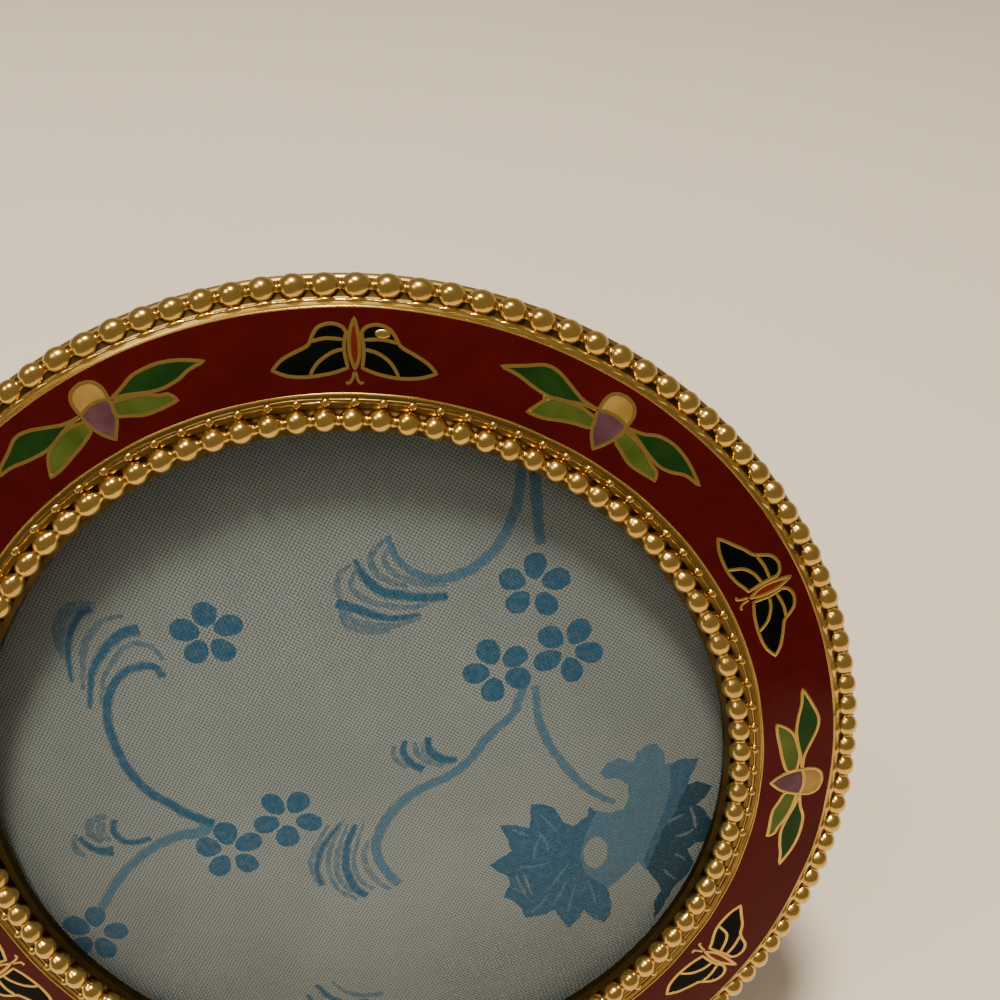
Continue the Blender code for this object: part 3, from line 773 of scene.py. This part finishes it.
def stroke(line, start, middle, end):
    """A brush stroke's outline along a line, of three widths."""
    smooth = curve_through(line, 5)
    left, right = [], []
    for index, ((x, y), (side_x, side_y)) in enumerate(zip(smooth, side_steps(smooth, False))):
        share = index / (len(smooth) - 1)
        width = (
            (1 - share) * (1 - 2 * share) * start
            + 4 * share * (1 - share) * middle
            + share * (2 * share - 1) * end
        )
        left.append((x + side_x * width / 2, y + side_y * width / 2))
        right.append((x - side_x * width / 2, y - side_y * width / 2))
    return left + right[::-1]


def rough(outline, chance, size, step=0.35):
    """The outline as ink spreads along the threads: uneven by a little, point by point."""
    spread = []
    for (x, y), (next_x, next_y) in zip(outline, outline[1:] + outline[:1]):
        pieces = max(1, round(hypot(next_x - x, next_y - y) / step))
        for piece in range(pieces):
            share = piece / pieces
            across = x + (next_x - x) * share + chance.uniform(-size, size)
            up = y + (next_y - y) * share + chance.uniform(-size, size)
            spread.append((across, up))
    return spread


def blossom(x, y, turn, chance):
    """Five round petals round a bare middle."""
    petals = []
    for index in range(5):
        direction = radians(turn + 72 * index + chance.uniform(-4, 4))
        reach = chance.uniform(2.0, 2.15)
        long, wide = chance.uniform(1.25, 1.4), chance.uniform(1.02, 1.15)
        outline = []
        for step in turns_of(18):
            along = reach + long * cos(step)
            across = wide * sin(step) * (1 + 0.14 * cos(step))
            right = x + along * cos(direction) - across * sin(direction)
            up = y + along * sin(direction) + across * cos(direction)
            outline.append((right, up))
        petals.append(outline)
    return petals


def print_outlines():
    """Every printed shape: its tone and its outline."""
    chance = random.Random(7)
    shapes = []
    for x, y, turn in BLOSSOMS:
        shapes += [("full", rough(petal, chance, 0.05)) for petal in blossom(x, y, turn, chance)]
    for tone, line, *widths in STROKES:
        shapes.append((tone, rough(stroke(line, *widths), chance, 0.06)))
        if tone != "pale":
            shapes.append(("pale", rough(stroke(line, *[width + FRINGE for width in widths]), chance, 0.08)))
    for tone, outline in FLOWER_HEADS:
        shapes.append((tone, rough(outline, chance, 0.07)))
    for tone, line in LIGHT_LINES:
        shapes.append((tone, rough(stroke(line, 0.12, 0.32, 0.12), chance, 0.05)))
    x, y, wide, high = FLOWER_HEAD_EYE
    eye = [(x + wide * cos(step), y + high * sin(step)) for step in turns_of(14)]
    shapes.append(("bare", rough(eye, chance, 0.08)))
    return shapes


def make_cloth(inks):
    """A thin disc. The printed shapes are cut into its face, and their faces take the ink."""
    shapes = print_outlines()
    rim = [(CLOTH_RADIUS / MM * cos(turn), CLOTH_RADIUS / MM * sin(turn)) for turn in turns_of(120)]
    corners, outlines = [], []
    for outline in [rim, *[anticlockwise(outline) for _, outline in shapes]]:
        outlines.append(list(range(len(corners), len(corners) + len(outline))))
        corners += [Vector(point) for point in outline]
    found = delaunay_2d_cdt(corners, [], outlines, 1, 1e-5)
    flat, faces, sources = found[0], found[2], found[5]
    points = [(x * MM, y * MM, CLOTH_FRONT) for x, y in flat]
    names = list(inks)
    kinds = []
    for source in sources:
        tones = [TONES.index(shapes[index - 1][0]) for index in source if index > 0]
        tone = TONES[max(tones)] if tones else "bare"
        kinds.append(names.index(LINE_TONES.get(tone, tone)))
    back = len(points)
    points += [(x * MM, y * MM, CLOTH_FRONT - CLOTH_THICKNESS) for x, y in rim]
    faces = [tuple(face) for face in faces]
    faces.append(tuple(reversed(range(back, back + len(rim)))))
    front_rim = rim_corners(flat, rim)
    for index in range(len(rim)):
        after = (index + 1) % len(rim)
        faces.append((front_rim[index], back + index, back + after, front_rim[after]))
    kinds += [names.index("bare")] * (len(rim) + 1)
    cloth = add_piece(
        "print_cotton",
        points,
        faces,
        [inks[name] for name in names],
        "printed_cotton",
        replaced=["printed_cloth"],
        face_materials=kinds,
    )


def rim_corners(flat, rim):
    """Which of the cut face's corners are the rim's own."""
    places = {(round(x, 3), round(y, 3)): index for index, (x, y) in enumerate(flat)}
    return [places[(round(x, 3), round(y, 3))] for x, y in rim]


# Materials

class Nodes:
    """A new material's or world's nodes, with short calls for the few kinds that are used here."""

    def __init__(self, name, kind="materials", shader="Principled BSDF"):
        self.owner = getattr(bpy.data, kind).new(name)
        self.owner.use_nodes = True
        self.tree = self.owner.node_tree
        self.shader = self.tree.nodes[shader]

    def node(self, kind, inputs=None, **settings):
        made = self.tree.nodes.new(kind)
        for setting, value in settings.items():
            setattr(made, setting, value)
        for name, value in (inputs or {}).items():
            self.feed(made.inputs[name], value)
        return made

    def feed(self, socket, value):
        if isinstance(value, bpy.types.NodeSocket):
            self.tree.links.new(value, socket)
        else:
            socket.default_value = value

    def set(self, **inputs):
        for name, value in inputs.items():
            self.feed(self.shader.inputs[name.replace("_", " ")], value)

    def place(self):
        return self.node("ShaderNodeTexCoord").outputs["Object"]

    def noise(self, place, scale, detail, roughness=0.55):
        inputs = {"Vector": place, "Scale": scale, "Detail": detail, "Roughness": roughness}
        return self.node("ShaderNodeTexNoise", inputs).outputs["Fac"]

    def math(self, operation, *values):
        made = self.node("ShaderNodeMath", operation=operation)
        for socket, value in zip(made.inputs, values):
            self.feed(socket, value)
        return made.outputs[0]

    def times(self, first, second):
        return self.math("MULTIPLY", first, second)

    def ramp(self, value, start, end, low=0.0, high=1.0, **settings):
        """The value from start to end, stretched to run from low to high, and kept in between."""
        inputs = {"Value": value, "From Min": start, "From Max": end, "To Min": low, "To Max": high}
        return self.node("ShaderNodeMapRange", inputs, **settings).outputs[0]

    def mix(self, share, first, second):
        made = self.node("ShaderNodeMix", data_type="RGBA")
        self.feed(made.inputs[0], share)
        self.feed(made.inputs[6], first)
        self.feed(made.inputs[7], second)
        return made.outputs[2]

    def bump(self, height, distance, strength=1.0, after=None):
        inputs = {"Height": height, "Distance": distance, "Strength": strength}
        if after is not None:
            inputs["Normal"] = after
        return self.node("ShaderNodeBump", inputs).outputs["Normal"]


def rgb(red, green, blue):
    return (red, green, blue, 1.0)


# Dull, bright and stained gold
GOLD_TONES = [(0.61, 0.375, 0.075), (0.72, 0.46, 0.11), (0.26, 0.13, 0.03)]
TARNISH_SPOTS = [
    # Angle in degrees, radius on the ring and size
    (57.5, 46.0 * MM, 0.8 * MM),
    (80.0, 45.2 * MM, 0.6 * MM),
]


def gilt(name, roughness=0.17, tarnish=0.3, shade=1.0, coat=0.3, brushed=False):
    """Lacquered gilt brass: warm and bright, duller and browner in patches and spots, with fine scratches."""
    nodes = Nodes(name)
    place = nodes.place()
    patches = nodes.ramp(nodes.noise(place, 420.0, 4.0), 0.45, 0.75)
    grain = nodes.noise(place, 2600.0, 2.0)
    # shade darkens every tone; the ring's grooves, lip and shoulder use it for painted shade
    dull, bright, stained = [rgb(*[part * shade for part in tone]) for tone in GOLD_TONES]
    clean = nodes.mix(grain, dull, bright)
    colour = nodes.mix(nodes.times(patches, tarnish), clean, stained)
    for angle, radius, size in TARNISH_SPOTS:
        centre = on_ring(radius, radians(angle), TARNISH_HEIGHT)
        spot = nodes.node("ShaderNodeVectorMath", {0: place, 1: centre}, operation="DISTANCE")
        uneven = nodes.ramp(grain, 0.2, 0.8, -0.3 * size, 0.3 * size)
        ragged = nodes.math("ADD", spot.outputs["Value"], uneven)
        colour = nodes.mix(nodes.ramp(ragged, size, 0.5 * size, 0.0, 0.85), colour, rgb(0.05, 0.035, 0.02))
    nodes.set(
        Base_Color=colour,
        Metallic=1.0,
        Roughness=nodes.ramp(patches, 0.0, 1.0, roughness, roughness + 0.14),
        Coat_Weight=coat,
        Coat_Roughness=0.09,
        Coat_IOR=1.6,
    )
    scratches = nodes.noise(place, 4200.0, 2.0, 0.6)
    if brushed:
        stretched = nodes.node("ShaderNodeMapping", {"Vector": place, "Scale": (9.0, 0.6, 0.6)}).outputs[0]
        scratches = nodes.noise(stretched, 1500.0, 3.0, 0.7)
    nodes.set(Normal=nodes.bump(scratches, 0.006 * MM, 0.5))
    return nodes.owner


def enamel(name, deep, light, gloss=0.13):
    """Fired enamel: clouded glass, polished, with a few fine pits."""
    nodes = Nodes(name)
    place = nodes.place()
    clouds = nodes.noise(place, 320.0, 4.0)
    speckle = nodes.ramp(nodes.noise(place, 4200.0, 2.0), 0.68, 0.76)
    smears = nodes.noise(place, 900.0, 3.0)
    colour = nodes.mix(nodes.ramp(clouds, 0.3, 0.7), deep, light)
    nodes.set(
        Base_Color=nodes.mix(nodes.times(speckle, 0.35), colour, rgb(0.01, 0.006, 0.004)),
        Roughness=nodes.ramp(smears, 0.3, 0.8, ENAMEL_ROUGHNESS, ENAMEL_ROUGHNESS + 0.1),
        IOR=1.45,
        Specular_IOR_Level=gloss,
    )
    ripple = nodes.noise(place, 260.0, 2.0)
    nodes.set(Normal=nodes.bump(ripple, 0.05 * MM, 0.35))
    return nodes.owner


def clear_glass():
    nodes = Nodes("clear_glass")
    nodes.set(Base_Color=rgb(0.05, 0.055, 0.055), Roughness=0.03, IOR=1.5, Alpha=0.07)
    return nodes.owner


def weave(nodes, place):
    """A plain weave, over and under by turns: its height, and how far from a hole each place is."""
    mapping = nodes.node("ShaderNodeMapping", {"Vector": place, "Rotation": (0, 0, WEAVE_TURN)})
    turned_place = mapping.outputs[0]
    wander = nodes.noise(place, 700.0, 2.0)
    split = nodes.node("ShaderNodeSeparateXYZ", {"Vector": turned_place})
    threads = []
    for axis in ("X", "Y"):
        along = nodes.math("DIVIDE", split.outputs[axis], WEAVE_PITCH)
        threads.append(nodes.math("ADD", along, nodes.times(wander, 0.9)))
    waves = [nodes.math("SINE", nodes.times(thread, pi)) for thread in threads]
    rounds = [nodes.math("ABSOLUTE", wave) for wave in waves]
    steps = nodes.math("ADD", nodes.math("FLOOR", threads[0]), nodes.math("FLOOR", threads[1]))
    over = nodes.math("MODULO", nodes.math("ABSOLUTE", steps), 2.0)
    solid = nodes.math("MAXIMUM", rounds[0], rounds[1])
    warp = nodes.times(rounds[0], nodes.ramp(over, 0.0, 1.0, 0.35, 1.0))
    weft = nodes.times(rounds[1], nodes.ramp(over, 0.0, 1.0, 1.0, 0.35))
    return nodes.math("MAXIMUM", warp, weft), solid


def printed(nodes, place, colour, height, fibres, ink, cover):
    """The cloth's colour with the ink on it, which takes best on the threads and thins where it is worn."""
    deep, pale = ink
    dye = nodes.mix(nodes.ramp(fibres, 0.3, 0.75), deep, pale)
    on_threads = nodes.ramp(height, 0.2, 0.8, 0.84, 1.0)
    taken = nodes.times(on_threads, nodes.ramp(fibres, 0.8, 0.3, 0.92, 1.0))
    worn = nodes.noise(place, 1500.0, 3.0, 0.6)
    taken = nodes.times(taken, nodes.ramp(worn, 0.7, 0.45, 0.8, 1.0))
    if cover > 1:
        taken = nodes.times(taken, cover)
    if cover < 1:
        raised = nodes.ramp(height, 0.4, 0.8, 0.45 * cover, 1.3 * cover)
        thin = nodes.times(raised, nodes.ramp(worn, 0.65, 0.4, 0.6, 1.1))
        taken = nodes.times(taken, thin)
    return nodes.mix(taken, colour, dye)


def cotton(name, shade, bright, ink=None, cover=1.0):
    """Plain-woven cotton, printed where it has an ink.

    It bulges towards the pane and falls away to the rim, and is painted darker towards the rim, as shade from
    the ring.
    """
    nodes = Nodes(name)
    place = nodes.place()
    height, solid = weave(nodes, place)
    fibres = nodes.noise(place, 5200.0, 3.0, 0.7)
    patches = nodes.noise(place, 110.0, 3.0)
    # Painted shade in the weave: the threads are darker where they dip and lighter on their tops
    colour = nodes.mix(nodes.ramp(height, 0.3, 0.85), shade, bright)
    colour = nodes.mix(nodes.ramp(patches, 0.35, 0.7, 0.0, 0.22), colour, shade)
    if ink is not None:
        colour = printed(nodes, place, colour, height, fibres, ink, cover)
    # Painted shade in the holes between the threads
    colour = nodes.mix(nodes.ramp(solid, 0.35, 0.85, 0.5, 1.0), rgb(0.02, 0.03, 0.03), colour)
    from_middle = nodes.node("ShaderNodeVectorMath", {0: place}, operation="LENGTH").outputs["Value"]
    # Painted shade from the ring: darker from 16 mm out, and as dark from 28 mm to the rim
    painted_shade = nodes.ramp(from_middle, 16 * MM, 28 * MM, 0.0, 0.19)
    nodes.set(
        Base_Color=nodes.mix(painted_shade, colour, rgb(0.03, 0.035, 0.03)),
        Roughness=0.92,
        Sheen_Weight=0.05,
        Sheen_Roughness=0.5,
        Specular_IOR_Level=0.1,
    )
    outside = nodes.math("MAXIMUM", nodes.math("SUBTRACT", from_middle, BULGE_FLAT), 0.0)
    bulge = nodes.times(nodes.math("POWER", outside, 3.0), -BULGE_BEND)
    uneven = nodes.math("ADD", height, nodes.times(fibres, 0.35))
    nodes.set(Normal=nodes.bump(uneven, 0.09 * MM, 0.6, after=nodes.bump(bulge, 1.0)))
    return nodes.owner


def dark_cloth():
    """The short dark pile on the board."""
    nodes = Nodes("dark_cloth")
    place = nodes.place()
    pile = nodes.noise(place, 3600.0, 4.0, 0.75)
    rubbed = nodes.noise(place, 90.0, 4.0)
    colour = nodes.mix(nodes.ramp(pile, 0.3, 0.75), rgb(0.006, 0.007, 0.012), rgb(0.03, 0.032, 0.045))
    colour = nodes.mix(nodes.ramp(rubbed, 0.55, 0.8, 0.0, 0.4), colour, rgb(0.05, 0.052, 0.062))
    nodes.set(
        Base_Color=colour,
        Roughness=0.95,
        Sheen_Weight=0.5,
        Sheen_Roughness=0.4,
        Specular_IOR_Level=0.15,
        Normal=nodes.bump(pile, 0.12 * MM, 0.8),
    )
    return nodes.owner


def plain_floor():
    nodes = Nodes("pale_floor")
    mottle = nodes.noise(nodes.place(), 14.0, 4.0)
    colour = nodes.mix(mottle, rgb(0.85, 0.745, 0.6), rgb(0.89, 0.785, 0.64))
    nodes.set(Base_Color=colour, Roughness=0.45)
    return nodes.owner


def dress(node, material, bevel=0.0):
    """A CAD node that keeps its shape, with a finished material and softly broken edges."""
    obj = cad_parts[node]
    obj.data.materials.clear()
    obj.data.materials.append(material)
    if bevel:
        edge = obj.modifiers.new("broken_edges", "BEVEL")
        edge.width = bevel
        edge.segments = 2
        edge.limit_method = "ANGLE"
        edge.angle_limit = radians(30)


def make_enamels():
    """The motifs' enamels, by the kind of cell."""
    return {
        "dark leaf": enamel("dark_green_enamel", rgb(0.006, 0.028, 0.004), rgb(0.014, 0.05, 0.008)),
        "light leaf": enamel("light_green_enamel", rgb(0.045, 0.075, 0.01), rgb(0.095, 0.125, 0.022)),
        "ochre": enamel("ochre_enamel", rgb(0.28, 0.15, 0.03), rgb(0.42, 0.26, 0.07)),
        "lilac": enamel("lilac_enamel", rgb(0.075, 0.03, 0.036), rgb(0.14, 0.065, 0.08)),
        "wing": enamel("black_enamel", rgb(0.001, 0.0015, 0.001), rgb(0.003, 0.005, 0.003), gloss=0.06),
        "body": enamel("scarlet_enamel", rgb(0.11, 0.011, 0.005), rgb(0.16, 0.017, 0.008)),
    }


def make_inks():
    """The cloth's materials, by the print's tone."""
    shade, bright = rgb(0.145, 0.185, 0.178), rgb(0.385, 0.445, 0.44)
    ink = (rgb(0.004, 0.095, 0.2), rgb(0.02, 0.15, 0.295))
    light_ink = (rgb(0.05, 0.165, 0.28), rgb(0.095, 0.235, 0.36))
    dark_ink = (rgb(0.002, 0.05, 0.1), rgb(0.005, 0.08, 0.15))
    return {
        "bare": cotton("cotton", shade, bright),
        "pale": cotton("pale_print", shade, bright, ink, 0.55),
        "soft": cotton("soft_print", shade, bright, light_ink),
        "full": cotton("full_print", shade, bright, ink),
        "deep": cotton("deep_print", shade, bright, dark_ink, 1.15),
    }


def make_object():
    gold = gilt("gilt_brass")
    wire_gold = gilt("gilt_wires", roughness=0.25, tarnish=0.25, shade=0.95)
    # The next three golds are darkened as painted shade: in the inner groove and its solder line, round the
    # pane and between the outer beads, and under the outer beads
    groove_shade_gold = gilt("gilt_painted_groove_shade", roughness=0.3, tarnish=0.5, shade=0.4)
    deep_shade_gold = gilt("gilt_painted_deep_shade", roughness=0.45, tarnish=0.7, shade=0.1, coat=0.05)
    bead_shade_gold = gilt("gilt_painted_shade_under_beads", roughness=0.32, tarnish=0.5, shade=0.6)
    make_ring([gold, groove_shade_gold, deep_shade_gold, bead_shade_gold])
    make_edge_wires(wire_gold, groove_shade_gold)
    make_beads(gold)
    make_enamel_ground(enamel("red_enamel", rgb(0.055, 0.0022, 0.002), rgb(0.075, 0.003, 0.0028)))
    make_motifs(wire_gold, make_enamels())
    make_gold_drop_and_highlight(wire_gold)
    make_cloth(make_inks())
    dress("glass_disc", clear_glass())
    dress("back_board", dark_cloth(), 0.3 * MM)
    sheet_metal = gilt("gilt_sheet", roughness=0.26, tarnish=0.3, brushed=True)
    dress("hinge_bracket", sheet_metal, 0.08 * MM)
    dress("hinge_pin", sheet_metal, 0.08 * MM)
    dress("easel_strut", sheet_metal, 0.15 * MM)


# The stage, the light and the camera

def make_floor():
    """A pale table top that ends a little in front of the frame."""
    mesh = bpy.data.meshes.new("floor")
    mesh.from_pydata([(x, y, 0) for x, y in FLOOR_CORNERS], [], [tuple(range(len(FLOOR_CORNERS)))])
    mesh.materials.append(plain_floor())
    floor = bpy.data.objects.new("floor", mesh)
    bpy.context.scene.collection.objects.link(floor)


def make_world():
    """Soft light from pale walls beyond the frame, less from the viewer's side, and a lamp at the side."""
    nodes = Nodes("room_light", "worlds", "Background")
    bpy.context.scene.world = nodes.owner
    place = nodes.node("ShaderNodeTexCoord").outputs["Generated"]

    def glow(direction, fade, dim, full):
        """Light that grows towards a direction, by the cosine of the angle to it."""
        aim = Vector(direction).normalized()
        towards = nodes.node("ShaderNodeVectorMath", {0: place, 1: aim}, operation="DOT_PRODUCT")
        return nodes.ramp(towards.outputs["Value"], *fade, dim, full, interpolation_type="SMOOTHSTEP")

    walls_from = [-axis for axis in DARK_SIDE]
    walls = glow(walls_from, WALLS_FADE, DARK_ROOM, DARK_ROOM + WALL_LIGHT)
    side_lamp = glow(SIDE_LAMP, SIDE_LAMP_FADE, 0.0, SIDE_LAMP_LIGHT)
    nodes.set(Color=ROOM_COLOUR, Strength=nodes.math("ADD", walls, side_lamp))


def make_lamp():
    data = bpy.data.lights.new("ceiling_lamp", "AREA")
    data.shape = "DISK"
    data.size = LAMP_WIDTH
    data.energy = LAMP_POWER
    data.color = LAMP_COLOUR
    lamp = bpy.data.objects.new("ceiling_lamp", data)
    bpy.context.scene.collection.objects.link(lamp)
    lamp.location = RING.translation + LAMP_DISTANCE * LAMP_DIRECTION
    lamp.rotation_euler = LAMP_DIRECTION.to_track_quat("Z", "Y").to_euler()


def make_camera():
    data = bpy.data.cameras.new("camera")
    data.sensor_width = 36.0
    data.lens = FOCAL_PIXELS / PHOTO_SIZE * data.sensor_width
    data.clip_start = 0.001
    camera = bpy.data.objects.new("camera", data)
    bpy.context.scene.collection.objects.link(camera)
    back = -CAMERA_FORWARD.normalized()
    right = (CAMERA_RIGHT - CAMERA_RIGHT.dot(back) * back).normalized()
    up = back.cross(right)
    turn = Matrix((right, up, back)).transposed().to_4x4()
    camera.matrix_world = RING @ Matrix.Translation(CAMERA_PLACE) @ turn
    bpy.context.scene.camera = camera


make_object()
make_floor()
make_world()
make_lamp()
make_camera()
